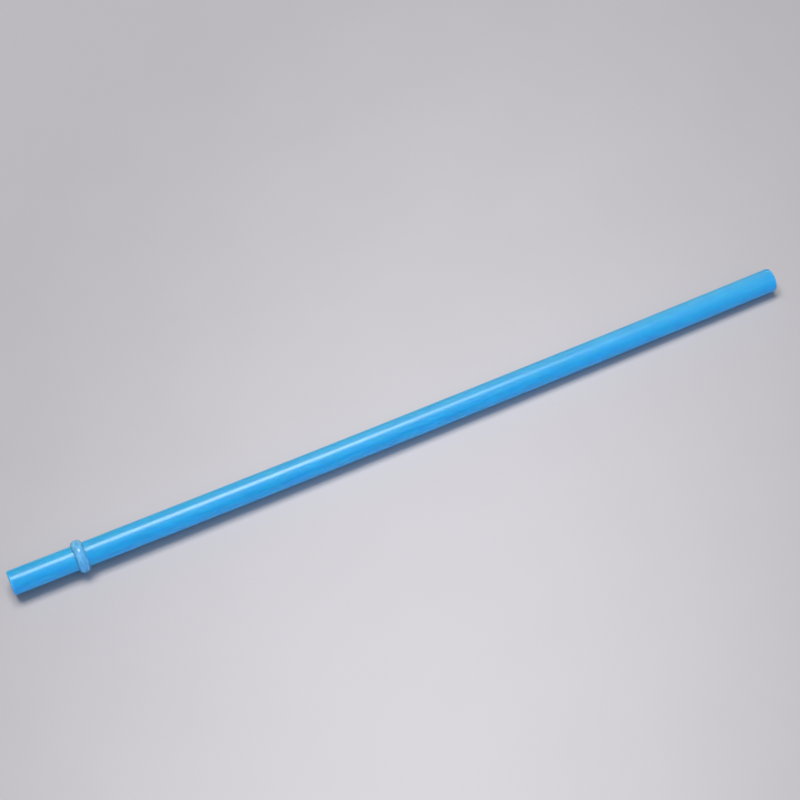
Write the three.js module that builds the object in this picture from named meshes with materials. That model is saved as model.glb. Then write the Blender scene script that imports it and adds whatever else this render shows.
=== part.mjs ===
// A reusable drinking straw for a lidded tumbler: a plain straight plastic tube, open at both ends,
// with a stopper ring near the end that stands in the cup. The ring bears on the underside of the lid,
// so that the straw can't be pulled out through the hole.
//
// Millimetres. The straw lies along +X with +Z up. The origin is on the tube's axis, half way along it.
// -X is the cup end, which carries the ring, and +X is the mouth end.

import * as THREE from "three";

const INCH = 25.4;

// Driving dimensions
const tubeLength = 10.5 * INCH;
const tubeDiameter = 0.31 * INCH;
const tubeWall = 0.8;
const ringFromCupEnd = 22.5; // from the cup end's rim to the middle of the ring
const ringDiameter = 10.5;
const ringWidth = 3.5;

// Details
const rimOuterFillet = 0.3; // both rims are rounded, with a narrow flat land left between the fillets
const rimInnerFillet = 0.25;
const ringShoulder = 0.45; // height of the ring's flat sides, which bear on the lid
const ringSeatGap = 0.05; // glue line between the ring's bore and the tube
const roundSegments = 72;
const filletSteps = 4;
const crownSteps = 14;

const tubeRadius = tubeDiameter / 2;
const boreRadius = tubeRadius - tubeWall;
const cupEnd = -tubeLength / 2;
const mouthEnd = tubeLength / 2;

const quarterTurn = Math.PI / 2;

// Points along an elliptical arc, anticlockwise, in a plane of radius (x) against length (y).
function arc(x, y, radiusX, radiusY, start, end, steps) {
  return Array.from({ length: steps + 1 }, (_, i) => {
    const angle = start + ((end - start) * i) / steps;
    return new THREE.Vector2(x + radiusX * Math.cos(angle), y + radiusY * Math.sin(angle));
  });
}

// A solid of revolution about Y, from an outline that runs anticlockwise and is closed here.
function revolve(outline) {
  return new THREE.LatheGeometry([...outline, outline[0]], roundSegments);
}

// One rounded corner of the tube's wall. The quadrant counts anticlockwise from the outer mouth-end corner.
function rimCorner(quadrant, x, y, fillet) {
  const start = quadrant * quarterTurn;
  return arc(x, y, fillet, fillet, start, start + quarterTurn, filletSteps);
}

function tubeGeometry() {
  const outerX = tubeRadius - rimOuterFillet;
  const innerX = boreRadius + rimInnerFillet;
  return revolve([
    ...rimCorner(0, outerX, mouthEnd - rimOuterFillet, rimOuterFillet),
    ...rimCorner(1, innerX, mouthEnd - rimInnerFillet, rimInnerFillet),
    ...rimCorner(2, innerX, cupEnd + rimInnerFillet, rimInnerFillet),
    ...rimCorner(3, outerX, cupEnd + rimOuterFillet, rimOuterFillet),
  ]);
}

// Flat sides that rise from the tube, closed by a half-oval crown.
function ringGeometry() {
  const seatRadius = tubeRadius + ringSeatGap;
  const shoulderRadius = tubeRadius + ringShoulder;
  const crownHeight = ringDiameter / 2 - shoulderRadius;
  return revolve([
    new THREE.Vector2(seatRadius, -ringWidth / 2),
    ...arc(shoulderRadius, 0, crownHeight, ringWidth / 2, -quarterTurn, quarterTurn, crownSteps),
    new THREE.Vector2(seatRadius, ringWidth / 2),
  ]);
}

const tubePlastic = new THREE.MeshStandardMaterial({ color: 0x1d93bf, roughness: 0.22, metalness: 0 });
const ringPlastic = new THREE.MeshStandardMaterial({ color: 0x5d9ec0, roughness: 0.18, metalness: 0 });

const tube = new THREE.Mesh(tubeGeometry(), tubePlastic);
tube.name = "straw_tube";

const ring = new THREE.Mesh(ringGeometry(), ringPlastic);
ring.name = "stopper_ring";
ring.position.y = cupEnd + ringFromCupEnd;

// Both pieces are turned about Y, and this group lays that axis along +X.
const straw = new THREE.Group();
straw.rotation.z = -quarterTurn;
straw.add(tube, ring);

export default straw;
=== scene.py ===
# A reusable plastic drinking straw with a stopper ring near its cup end, lying on a pale studio floor.
#
# Metres, in the frame of the CAD model: the straw lies along X with Z up, its origin is on the tube's axis
# half way along, and the ring is near the -X end. Sizes come from the CAD nodes' boxes where they can.

import math

import bpy
from mathutils import Matrix, Vector


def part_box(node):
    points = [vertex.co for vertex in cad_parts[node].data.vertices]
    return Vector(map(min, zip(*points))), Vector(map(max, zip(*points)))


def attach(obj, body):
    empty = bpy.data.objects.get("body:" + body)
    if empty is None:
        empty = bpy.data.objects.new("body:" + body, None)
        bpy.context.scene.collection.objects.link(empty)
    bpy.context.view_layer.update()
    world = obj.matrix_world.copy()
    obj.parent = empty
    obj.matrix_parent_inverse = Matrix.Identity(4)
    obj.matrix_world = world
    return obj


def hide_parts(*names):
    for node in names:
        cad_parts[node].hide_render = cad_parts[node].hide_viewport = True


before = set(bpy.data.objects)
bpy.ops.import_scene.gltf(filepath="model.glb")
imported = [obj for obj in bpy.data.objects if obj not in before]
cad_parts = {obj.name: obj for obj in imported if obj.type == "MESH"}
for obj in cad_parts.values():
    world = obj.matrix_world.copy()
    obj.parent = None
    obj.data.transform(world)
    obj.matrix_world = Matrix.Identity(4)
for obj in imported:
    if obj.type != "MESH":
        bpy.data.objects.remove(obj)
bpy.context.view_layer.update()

MM = 0.001

# The tube's and the ring's own sizes, from the CAD
tube_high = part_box("straw_tube")[1]
ring_low, ring_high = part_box("stopper_ring")
half_length = tube_high.x
tube_radius = tube_high.z
ring_radius = ring_high.z
ring_middle = (ring_low.x + ring_high.x) / 2
ring_half_width = (ring_high.x - ring_low.x) / 2

# Details that the CAD's boxes don't show
WALL = 0.8 * MM
RIM_OUTER_FILLET = 0.60 * MM
RIM_INNER_FILLET = 0.20 * MM
RING_SHOULDER = 0.12 * MM  # height of the ring's flat sides above the tube
RING_SEAT_GAP = 0.01 * MM
BOW_ASIDE = 0.59 * MM  # the middle of the tube stands this far towards -Y of a line between its ends
BOW_DOWN = 0.15 * MM  # and this far below that line

# The drawn tube's unevenness, as shares of its radius, and how fast its waves run along it
LONG_WAVE = 0.0012
LONG_WAVE_RUN = 17 * MM
SHORT_WAVE = 0.0008
SHORT_WAVE_RUN = 7.3 * MM
OVALITY = 0.0015

# How finely the meshes are cut
ROUND_SEGMENTS = 160
STATION_SPACING = 1.75 * MM
SEAT_SPACING = 0.3 * MM
FILLET_STEPS = 8
CROWN_STEPS = 28

# Colours of the materials
TUBE_BLUE = (0.010, 0.285, 0.508, 1)
TUBE_STREAK_BLUE = (0.014, 0.299, 0.527, 1)
TUBE_CLOUD_BLUE = (0.020, 0.315, 0.56, 1)
# Painted highlight on the tube's rounded rims
TUBE_RIM_PAINTED_LIGHT_BLUE = (0.06, 0.38, 0.72, 1)
RING_BLUE = (0.075, 0.278, 0.465, 1)
RING_MILKY_BLUE = (0.150, 0.397, 0.595, 1)
PAPER_GREY = (0.341, 0.332, 0.350, 1)
# The paper's colour inside the painted pool of light
PAPER_PAINTED_LIGHT_GREY = (0.530, 0.515, 0.544, 1)
BACKDROP = (0.60, 0.60, 0.60)  # what the floor fades into, far from the straw

# The straw's plastics
SCATTER_DEPTH = 2.0 * MM
RIM_LIGHT_AND_SCUFF_STARTS = 0.9 * MM  # from the end of the tube; from here the rim is rougher from scuffs, and painted paler as a painted highlight on its rounded edge
RIM_LIGHT_AND_SCUFF_FULL = 0.1 * MM  # and fully so from here
# How strongly the painted highlight pales the rim
RIM_PAINTED_LIGHT_SHARE = 0.5
SCUFF_ROUGHNESS = 0.12

# Floor: its own X and Y are measured from the point under the ring
FLOOR_RADIUS = 6.0
FLOOR_FADE = (0.45, 1.4)  # the distances where it starts to turn into the backdrop, and is done
PAINTED_POOL_CENTRE = (0.047, -0.146)  # the middle of the painted pool of light, a brighter oval on the floor
PAINTED_POOL_RADII = (0.435, 0.206)
PAINTED_POOL_TURN = 57  # degrees

# Camera
CAMERA_AZIMUTH = math.radians(-25.33)
CAMERA_ELEVATION = math.radians(59.55)
CAMERA_DISTANCE = 0.647
CAMERA_AIM = Vector((2.7, 11.8, -4.65)) * MM
CAMERA_LENS_MM = 90
CAMERA_SENSOR_MM = 36
CAMERA_NEAREST = 0.01

# Light
LAMP_DISTANCE = 1.5
KEY_LEAN = (4, 26)
WORLD_RADIANCE = 0.155
WHITE = (1.0, 1.0, 1.0)
SKY_BLUE = (0.21, 0.615, 1.0)
LET_THROUGH = (0.01, 0.06, 0.13)  # the share of red, green and blue light that both walls of the tube pass


# ---------------------------------------------------------------- meshes


def centre_at(x):
    """The point of the bowed tube's centre line at x."""
    bow = 1 - (x / half_length) ** 2
    return Vector((x, -BOW_ASIDE * bow, -BOW_DOWN * bow))


def drawn_radius(x, angle):
    """The tube's radius as a share of its nominal value: slow waves from drawing, and a trace of ovality."""
    waves = LONG_WAVE * math.sin(x / LONG_WAVE_RUN) + SHORT_WAVE * math.sin(x / SHORT_WAVE_RUN + 1.0)
    ovality = OVALITY * math.cos(2 * angle + 0.7)
    return 1 + waves + ovality


def moulded_radius(x, angle):
    """The ring's radius as a share of its nominal value: it is moulded, and true all round."""
    return 1.0


def arc(x, r, radius_x, radius_r, start, end, steps):
    """Points (x, r) along an elliptical arc, by the angle from +X towards +R."""
    points = []
    for i in range(steps + 1):
        angle = start + (end - start) * i / steps
        points.append((x + radius_x * math.cos(angle), r + radius_r * math.sin(angle)))
    return points


def line(start, end, spacing):
    """Points strictly between start and end, evenly spaced by about spacing."""
    steps = max(1, round(math.dist(start, end) / spacing))
    return [
        (start[0] + (end[0] - start[0]) * i / steps, start[1] + (end[1] - start[1]) * i / steps)
        for i in range(1, steps)
    ]


def revolve(name, outline, radius_share):
    """A closed solid of revolution about the tube's centre line.

    The outline is a closed anticlockwise run of points (x, r).
    """
    vertices = []
    for x, r in outline:
        for k in range(ROUND_SEGMENTS):
            angle = 2 * math.pi * k / ROUND_SEGMENTS
            outwards = Vector((0, math.cos(angle), math.sin(angle)))
            vertices.append(centre_at(x) + r * radius_share(x, angle) * outwards)
    faces = []
    for i in range(len(outline)):
        this_row = i * ROUND_SEGMENTS
        next_row = (i + 1) % len(outline) * ROUND_SEGMENTS
        for k in range(ROUND_SEGMENTS):
            other = (k + 1) % ROUND_SEGMENTS
            faces.append((this_row + k, next_row + k, next_row + other, this_row + other))
    mesh = bpy.data.meshes.new(name)
    mesh.from_pydata(vertices, [], faces)
    mesh.validate()
    mesh.shade_smooth()
    piece = bpy.data.objects.new(name, mesh)
    bpy.context.scene.collection.objects.link(piece)
    return piece


def tube_outline():
    """The wall of the tube: both long sides are cut into stations, and all four rim corners are rounded."""
    bore = tube_radius - WALL
    outer_x = half_length - RIM_OUTER_FILLET
    inner_x = half_length - RIM_INNER_FILLET
    outer_r = tube_radius - RIM_OUTER_FILLET
    inner_r = bore + RIM_INNER_FILLET
    quarter = math.pi / 2
    outer, inner = RIM_OUTER_FILLET, RIM_INNER_FILLET
    outline = arc(outer_x, outer_r, outer, outer, 0, quarter, FILLET_STEPS)
    outline += line((outer_x, tube_radius), (-outer_x, tube_radius), STATION_SPACING)
    outline += arc(-outer_x, outer_r, outer, outer, quarter, 2 * quarter, FILLET_STEPS)
    outline += arc(-inner_x, inner_r, inner, inner, 2 * quarter, 3 * quarter, FILLET_STEPS)
    outline += line((-inner_x, bore), (inner_x, bore), STATION_SPACING)
    outline += arc(inner_x, inner_r, inner, inner, 3 * quarter, 4 * quarter, FILLET_STEPS)
    return outline


def ring_outline():
    """Short flat sides that rise from the tube, closed by a half-oval crown."""
    seat = tube_radius + RING_SEAT_GAP
    shoulder = tube_radius + RING_SHOULDER
    left, right = ring_middle - ring_half_width, ring_middle + ring_half_width
    outline = [(right, seat)]
    outline += arc(ring_middle, shoulder, ring_half_width, ring_radius - shoulder, 0, math.pi, CROWN_STEPS)
    outline += [(left, seat)]
    outline += line((left, seat), (right, seat), SEAT_SPACING)
    return outline


# ---------------------------------------------------------------- materials


class Nodes:
    """A material's node tree, built by short calls."""

    def __init__(self, name):
        self.material = bpy.data.materials.new(name)
        self.material.use_nodes = True
        self.tree = self.material.node_tree
        self.shader = self.tree.nodes["Principled BSDF"]
        self.place = self.tree.nodes.new("ShaderNodeTexCoord").outputs["Object"]

    def join(self, source, target):
        """Sets an input to a number, a colour or another node's output."""
        if isinstance(source, bpy.types.NodeSocket):
            self.tree.links.new(source, target)
        else:
            target.default_value = source

    def noise(self, size_mm, detail=2.0, roughness=0.5, seed=0.0):
        """Noise between 0 and 1, with features about size_mm (x, y, z) across."""
        mapping = self.tree.nodes.new("ShaderNodeMapping")
        self.join(self.place, mapping.inputs["Vector"])
        mapping.inputs["Location"].default_value = (seed, seed, seed)
        mapping.inputs["Scale"].default_value = [1 / (size * MM) for size in size_mm]
        texture = self.tree.nodes.new("ShaderNodeTexNoise")
        self.join(mapping.outputs["Vector"], texture.inputs["Vector"])
        texture.inputs["Scale"].default_value = 1.0
        texture.inputs["Detail"].default_value = detail
        texture.inputs["Roughness"].default_value = roughness
        return texture.outputs["Fac"]

    def math(self, operation, a, b=0.0):
        node = self.tree.nodes.new("ShaderNodeMath")
        node.operation = operation
        self.join(a, node.inputs[0])
        self.join(b, node.inputs[1])
        return node.outputs["Value"]

    def remap(self, value, source, target=(0, 1), curve="LINEAR"):
        """The value, with the range source stretched to the range target and held at its ends."""
        node = self.tree.nodes.new("ShaderNodeMapRange")
        node.interpolation_type = curve
        self.join(value, node.inputs["Value"])
        node.inputs["From Min"].default_value = source[0]
        node.inputs["From Max"].default_value = source[1]
        node.inputs["To Min"].default_value = target[0]
        node.inputs["To Max"].default_value = target[1]
        return node.outputs["Result"]

    def mix(self, share, a, b):
        """Colour a where share is 0 and colour b where it is 1."""
        node = self.tree.nodes.new("ShaderNodeMix")
        node.data_type = "RGBA"
        self.join(share, node.inputs["Factor"])
        self.join(a, node.inputs["A"])
        self.join(b, node.inputs["B"])
        return node.outputs["Result"]

    def bump(self, height, distance, below=None):
        """A bump of this height map, in metres, over another bump."""
        node = self.tree.nodes.new("ShaderNodeBump")
        node.inputs["Distance"].default_value = distance
        self.join(height, node.inputs["Height"])
        if below is not None:
            self.join(below, node.inputs["Normal"])
        return node.outputs["Normal"]

    def axis(self, name):
        """The X, Y or Z coordinate."""
        node = self.tree.nodes.new("ShaderNodeSeparateXYZ")
        self.join(self.place, node.inputs["Vector"])
        return node.outputs[name]

    def distance(self, centre=(0, 0), radii=(1, 1), turn=0):
        """The distance from centre in the XY plane, as a share of an ellipse's radii.

        The ellipse is turned by turn degrees.
        """
        ellipse = self.tree.nodes.new("ShaderNodeMapping")
        ellipse.vector_type = "TEXTURE"
        self.join(self.place, ellipse.inputs["Vector"])
        ellipse.inputs["Location"].default_value = (*centre, 0)
        ellipse.inputs["Rotation"].default_value = (0, 0, math.radians(turn))
        ellipse.inputs["Scale"].default_value = (*radii, 1)
        length = self.tree.nodes.new("ShaderNodeVectorMath")
        length.operation = "LENGTH"
        self.join(ellipse.outputs["Vector"], length.inputs[0])
        return length.outputs["Value"]

    def fade_to_glow(self, share, colour):
        """The surface turns into an even glow of this colour where share goes to 1."""
        glow = self.tree.nodes.new("ShaderNodeEmission")
        glow.inputs["Color"].default_value = (*colour, 1)
        fade = self.tree.nodes.new("ShaderNodeMixShader")
        self.join(share, fade.inputs["Fac"])
        self.join(self.shader.outputs["BSDF"], fade.inputs[1])
        self.join(glow.outputs["Emission"], fade.inputs[2])
        self.join(fade.outputs["Shader"], self.tree.nodes["Material Output"].inputs["Surface"])

    def set(self, **inputs):
        """Sets the shader's inputs; an underscore in a name stands for a space."""
        for name, value in inputs.items():
            self.join(value, self.shader.inputs[name.replace("_", " ")])


def tube_plastic():
    """Sky-blue polypropylene: glossy, faintly streaked along its length by extrusion, with scuffed, rougher
    rims that are painted paler as a painted highlight.
    """
    n = Nodes("tube_plastic")
    streaks = n.noise((60, 0.5, 0.5), detail=3)
    clouds = n.noise((14, 6, 6), seed=3.0)
    colour = n.mix(n.remap(streaks, (0.3, 0.7)), TUBE_BLUE, TUBE_STREAK_BLUE)
    colour = n.mix(n.remap(clouds, (0.35, 0.75), (0, 0.35)), colour, TUBE_CLOUD_BLUE)
    from_middle = n.math("ABSOLUTE", n.axis("X"))
    rim_light_and_scuff = n.remap(from_middle, (half_length - RIM_LIGHT_AND_SCUFF_STARTS, half_length - RIM_LIGHT_AND_SCUFF_FULL))
    # The paler rim colour is a painted highlight on the rounded rim edge; only the added roughness is
    # scuffing.
    colour = n.mix(n.math("MULTIPLY", rim_light_and_scuff, RIM_PAINTED_LIGHT_SHARE), colour, TUBE_RIM_PAINTED_LIGHT_BLUE)
    scuffs = n.noise((9, 0.25, 0.25), detail=4, roughness=0.7, seed=8.0)
    roughness = n.remap(scuffs, (0.55, 0.8), (0.31, 0.42))
    roughness = n.math("ADD", roughness, n.math("MULTIPLY", rim_light_and_scuff, SCUFF_ROUGHNESS))
    peel = n.bump(n.noise((2.2, 0.9, 0.9), seed=5.0), 0.006 * MM)
    lines = n.bump(streaks, 0.010 * MM, peel)
    n.set(Base_Color=colour, Roughness=roughness, Normal=lines, IOR=1.485)
    n.set(Subsurface_Weight=1.0, Subsurface_Scale=SCATTER_DEPTH, Subsurface_Radius=(0.15, 0.6, 1.0))
    return n.material


def ring_plastic():
    """Milky, paler blue: the ring lets light through, with cloudy flow marks from its moulding."""
    n = Nodes("ring_plastic")
    clouds = n.noise((0.6, 2.0, 2.0), detail=3, seed=11.0)
    colour = n.mix(n.remap(clouds, (0.35, 0.65)), RING_BLUE, RING_MILKY_BLUE)
    grain = n.noise((0.4, 0.4, 0.4), detail=3, seed=2.0)
    roughness = n.remap(grain, (0.3, 0.8), (0.15, 0.20))
    flow = n.bump(n.noise((1.4, 0.8, 0.8), seed=6.0), 0.02 * MM)
    n.set(Base_Color=colour, Roughness=roughness, Normal=flow, IOR=1.43)
    n.set(Subsurface_Weight=1.0, Subsurface_Scale=SCATTER_DEPTH, Subsurface_Radius=(0.5, 0.9, 1.0))
    return n.material


def floor_paper():
    """Pale grey matt paper with a painted pool of light: a little brighter in an oval in front of the straw.
    """
    n = Nodes("floor_paper")
    fibres = n.noise((0.5, 0.5, 0.5), detail=4, roughness=0.6)
    mottle = n.noise((30, 30, 30), detail=2, seed=4.0)
    # Painted pool of light: the paper's colour is brighter in this oval.
    painted_light_pool = n.remap(n.distance(PAINTED_POOL_CENTRE, PAINTED_POOL_RADII, PAINTED_POOL_TURN), (0, 1), (1, 0), "SMOOTHSTEP")
    painted_light_pool = n.math("ADD", painted_light_pool, n.remap(mottle, (0.3, 0.7), (-0.02, 0.02)))
    n.set(Base_Color=n.mix(painted_light_pool, PAPER_GREY, PAPER_PAINTED_LIGHT_GREY))
    n.set(Roughness=0.75, Specular_IOR_Level=0.2, Normal=n.bump(fibres, 0.03 * MM))
    n.fade_to_glow(n.remap(n.distance(), FLOOR_FADE), BACKDROP)
    return n.material


# ---------------------------------------------------------------- the straw


def add_piece(name, node, outline, radius_share, material):
    """A piece of the straw with this material, hung on the root body in place of this CAD node, which it
    hides.
    """
    piece = revolve(name, outline, radius_share)
    piece.data.materials.append(material)
    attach(piece, "root")
    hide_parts(node)
    return piece


tube = add_piece("tube", "straw_tube", tube_outline(), drawn_radius, tube_plastic())
ring = add_piece("ring", "stopper_ring", ring_outline(), moulded_radius, ring_plastic())


# ---------------------------------------------------------------- floor


def floor_frame():
    """The floor's matrix: it touches the underside of the ring and of the mouth end."""
    under_ring = centre_at(ring_middle) - Vector((0, 0, ring_radius))
    under_mouth = centre_at(half_length) - Vector((0, 0, tube_radius))
    y_axis = Vector((0, 1, 0))
    along = under_mouth - under_ring
    x_axis = (along - along.dot(y_axis) * y_axis).normalized()
    z_axis = x_axis.cross(y_axis)
    return Matrix.LocRotScale(under_ring, Matrix((x_axis, y_axis, z_axis)).transposed(), None)


def add_floor():
    mesh = bpy.data.meshes.new("floor")
    r = FLOOR_RADIUS
    mesh.from_pydata([(-r, -r, 0), (r, -r, 0), (r, r, 0), (-r, r, 0)], [], [(0, 1, 2, 3)])
    floor = bpy.data.objects.new("floor", mesh)
    floor.matrix_world = floor_frame()
    floor.data.materials.append(floor_paper())
    bpy.context.scene.collection.objects.link(floor)
    return floor


def collection_of(name, *members):
    collection = bpy.data.collections.new(name)
    for member in members:
        collection.objects.link(member)
    return collection


floor = add_floor()
floor_up = floor.matrix_world.to_3x3() @ Vector((0, 0, 1))
straw_only = collection_of("straw_only", tube, ring)
floor_only = collection_of("floor_only", floor)


# ---------------------------------------------------------------- light and camera


def from_direction(azimuth, elevation):
    """A unit vector towards a place seen from the origin: azimuth 0 is -Y, and a quarter turn is +X."""
    across = math.cos(elevation)
    return Vector((math.sin(azimuth) * across, -math.cos(azimuth) * across, math.sin(elevation)))


def look_at(location, target, up):
    """The matrix of a camera or lamp at location that faces target."""
    back = (location - target).normalized()
    right = up.cross(back).normalized()
    return Matrix.LocRotScale(location, Matrix((right, back.cross(right), back)).transposed(), None)


def add_lamp(name, along, lean, radiance, colour, receivers=None):
    """An area lamp that faces the origin, and shines with this radiance, in W per sq m per sr.

    It fills the directions whose share along +X lies between the two values of along, and which lean
    from straight up towards +Y by between the two angles of lean, in degrees. It lights the receivers,
    or everything if there are none.
    """
    side = sum(along) / 2
    across = math.sqrt(1 - side**2)
    middle = math.radians(sum(lean) / 2)
    location = LAMP_DISTANCE * Vector((side, across * math.sin(middle), across * math.cos(middle)))
    data = bpy.data.lights.new(name, "AREA")
    data.shape = "RECTANGLE"
    data.size = LAMP_DISTANCE * (along[1] - along[0]) / across
    data.size_y = LAMP_DISTANCE * across * 2 * math.tan(math.radians(lean[1] - lean[0]) / 2)
    data.energy = radiance * math.pi * data.size * data.size_y
    data.color = colour
    # Cycles gets the strength of light-linked lamps wrong while multiple importance sampling is on
    data.cycles.use_multiple_importance_sampling = False
    lamp = bpy.data.objects.new(name, data)
    lamp.matrix_world = look_at(location, Vector((0, 0, 0)), Vector((0, 1, 0)))
    lamp.visible_camera = False
    lamp.light_linking.receiver_collection = receivers
    bpy.context.scene.collection.objects.link(lamp)
    return lamp


def add_softbox(name, along, lean, radiance, receivers=None):
    """A white lamp in two parts: the light that the straw stops, and the blue light that its walls pass.

    Only the floor blocks the second part.
    """
    stopped = [1 - share for share in LET_THROUGH]
    add_lamp(name, along, lean, radiance, stopped, receivers)
    through = add_lamp(name + "_through", along, lean, radiance, LET_THROUGH, receivers)
    through.light_linking.blocker_collection = floor_only


def add_straw_lamp(name, along, lean, radiance, colour=WHITE):
    """A lamp that lights the straw alone."""
    return add_lamp(name, along, lean, radiance, colour, straw_only)


def add_lamps():
    # The key light: the floor has its own, so that the shadow is set apart from the straw's highlight
    add_softbox("floor_key", along=(-0.40, 0.20), lean=KEY_LEAN, radiance=16.5, receivers=floor_only)
    add_straw_lamp("straw_key", along=(0.0, 0.25), lean=KEY_LEAN, radiance=20.0)
    add_straw_lamp("straw_key_left", along=(-0.50, 0.0), lean=KEY_LEAN, radiance=9.5)

    # Fill for the floor and the straw alike
    add_softbox("top", along=(-0.01, 0.265), lean=(-15, 3), radiance=2.6)
    add_softbox("front", along=(0.0, 0.60), lean=(-52, -15), radiance=0.85)

    # Cards that are seen only in the straw's gloss
    back_card = add_straw_lamp("back_card", along=(0.0, 0.70), lean=(40, 80), radiance=1.4)
    left_card = add_straw_lamp("left_card", along=(-0.95, -0.65), lean=(-70, 5), radiance=4.0)
    back_card.visible_diffuse = False
    left_card.visible_diffuse = False

    # A card that brightens the straw's near flank, and isn't seen in its gloss
    front_card = add_straw_lamp(
        "front_card", along=(-0.45, 0.35), lean=(-90, -52), radiance=5.7, colour=SKY_BLUE
    )
    front_card.visible_glossy = False


def add_world(radiance):
    """Light from all round, which the camera sees as the pale backdrop."""
    world = bpy.data.worlds.new("studio")
    world.use_nodes = True
    background = world.node_tree.nodes["Background"]
    light_path = world.node_tree.nodes.new("ShaderNodeLightPath")
    strength = world.node_tree.nodes.new("ShaderNodeMapRange")
    strength.inputs["To Min"].default_value = radiance
    strength.inputs["To Max"].default_value = BACKDROP[1]
    world.node_tree.links.new(light_path.outputs["Is Camera Ray"], strength.inputs["Value"])
    world.node_tree.links.new(strength.outputs["Result"], background.inputs["Strength"])
    background.inputs["Color"].default_value = (*WHITE, 1)
    bpy.context.scene.world = world


def add_camera(up):
    data = bpy.data.cameras.new("camera")
    data.lens = CAMERA_LENS_MM
    data.sensor_width = CAMERA_SENSOR_MM
    data.clip_start = CAMERA_NEAREST
    camera = bpy.data.objects.new("camera", data)
    location = CAMERA_AIM + CAMERA_DISTANCE * from_direction(CAMERA_AZIMUTH, CAMERA_ELEVATION)
    camera.matrix_world = look_at(location, CAMERA_AIM, up)
    bpy.context.scene.collection.objects.link(camera)
    bpy.context.scene.camera = camera


add_lamps()
add_world(WORLD_RADIANCE)
add_camera(floor_up)
bpy.context.scene.view_settings.view_transform = "Standard"
